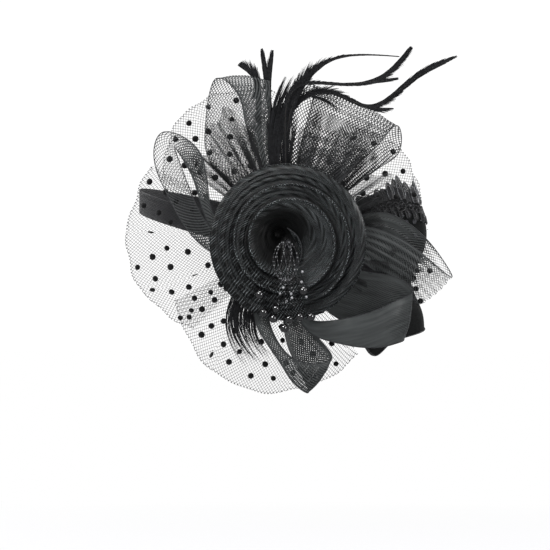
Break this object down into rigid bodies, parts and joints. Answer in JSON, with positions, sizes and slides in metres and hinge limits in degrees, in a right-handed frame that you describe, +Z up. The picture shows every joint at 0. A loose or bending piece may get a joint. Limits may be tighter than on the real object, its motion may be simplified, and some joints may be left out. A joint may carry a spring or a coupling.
{
  "type": "fascinator headpiece",
  "caption": "Black fascinator: wound crinoline flower with ribbon loops, dotted net, feathers and beads, joined to a half mask on an elastic band.",
  "frame": {"origin": "centre of the felt base's flat inner face, where the piece rests on the wearer's right temple", "axes": "+Y goes into the wearer's head, +Z is up, +X runs forwards to the wearer's face; the flower faces -Y"},
  "size_m": [0.2183, 0.2009, 0.2257],
  "materials": {
    "felt": "dense black wool felt",
    "clip_steel": "stamped spring steel, nickel plated",
    "gathered_crin": "cut and stitched ends of black crinoline and net",
    "buckram": "stiffened open-weave disc, black",
    "flower_crin": "pleated black crinoline braid with a slight sheen",
    "loop_crin": "black crinoline ribbon, slightly see-through",
    "sheer_ribbon": "sheer black ribbon",
    "dotted_net": "fine diamond net with flocked dots, black",
    "feather_barbs": "black feather barbs on a dark quill",
    "stem_wire": "black covered wire",
    "jet_beads": "high gloss black round beads",
    "bead_lattice": "lattice of fine black and silver-lined beads",
    "mask_velvet": "short-pile black cloth over a stiff former",
    "mask_satin": "black satin lining",
    "lace": "black corded embroidery with silver thread",
    "sequins": "black faceted sequins",
    "elastic": "woven black elastic, ribbed along its length"
  },
  "bodies": {
    "headpiece": {"felt_base": "felt", "clip_base_jaw": "clip_steel", "clip_hinge_pin": "clip_steel", "clip_spring": "clip_steel", "gathered_ribbon_ends": "gathered_crin", "flower_backing_disc": "buckram", "flower_outer_coil": "flower_crin", "flower_inner_coil": "flower_crin", "flower_centre_roll": "flower_crin", "stamen_stem_bundle": "stem_wire", "stamen_wires": "stem_wire", "stamen_beads": "jet_beads", "stamen_seed_beads": "jet_beads", "stamen_mesh_pod": "bead_lattice", "mask_shell": "mask_velvet", "mask_lining": "mask_satin", "mask_lace_trim": "lace", "mask_sequins": "sequins", "mask_eye_beads": "jet_beads", "head_band": "elastic", "left_ribbon_loop": "loop_crin", "top_ribbon_loop": "loop_crin", "crown_ribbon_loop": "sheer_ribbon", "brow_ribbon_loop": "loop_crin", "cheek_ribbon_loop": "loop_crin", "jaw_ribbon_loop": "loop_crin", "dotted_net_forehead": "dotted_net", "dotted_net_crown": "dotted_net", "dotted_net_back": "dotted_net", "dotted_net_cheek": "dotted_net", "biot_curled": "feather_barbs", "biot_forked": "feather_barbs", "hackle_plume": "feather_barbs", "coque_feather_upper": "feather_barbs", "coque_feather_middle": "feather_barbs", "coque_feather_lower": "feather_barbs", "hackle_lower_rear": "feather_barbs", "hackle_lower_front": "feather_barbs"},
    "clip_lever": {"clip_lever_jaw": "clip_steel"}
  },
  "joints": [
    {"name": "clip_lever_hinge", "type": "hinge", "parent": "headpiece", "child": "clip_lever", "pos_m": [0.009, 0.0044, 0.02], "axis": [0, 0, -1], "range_deg": [0, 28], "stiffness_Nm_per_rad": 0.05, "springref_deg": -8.59}
  ]
}
